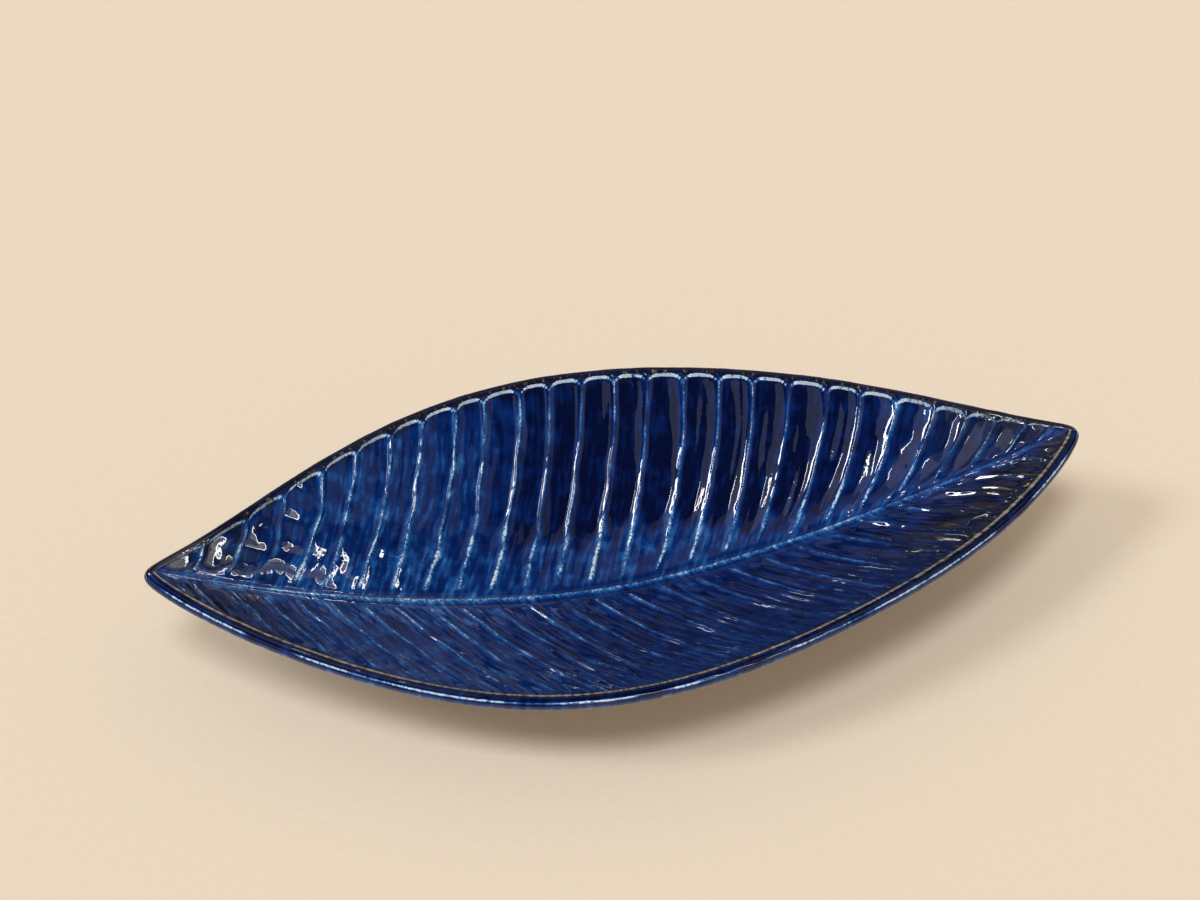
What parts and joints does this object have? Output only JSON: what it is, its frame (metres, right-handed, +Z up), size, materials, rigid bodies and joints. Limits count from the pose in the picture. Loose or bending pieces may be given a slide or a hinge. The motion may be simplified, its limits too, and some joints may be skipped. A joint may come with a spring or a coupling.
{
  "type": "leaf shaped plate",
  "caption": "Glossy glazed stoneware serving dish shaped as a leaf, with a raised midrib, fluted veins, a rounded rim and an oval foot ring.",
  "frame": {"origin": "centre of the dish's box, on the table under the foot ring", "axes": "+X from the stem tip to the apex of the leaf, +Y across the leaf, +Z up"},
  "size_m": [0.32, 0.173, 0.0474],
  "materials": {
    "stoneware": "unglazed fired stoneware, matt and slightly gritty",
    "cobalt_glaze": "glossy transparent cobalt glaze, dark where it pools and light blue where it breaks over the veins"
  },
  "bodies": {
    "root": {"stoneware_body": "stoneware", "foot_ring": "stoneware", "inside_glaze": "cobalt_glaze", "outside_glaze": "cobalt_glaze"}
  },
  "joints": []
}
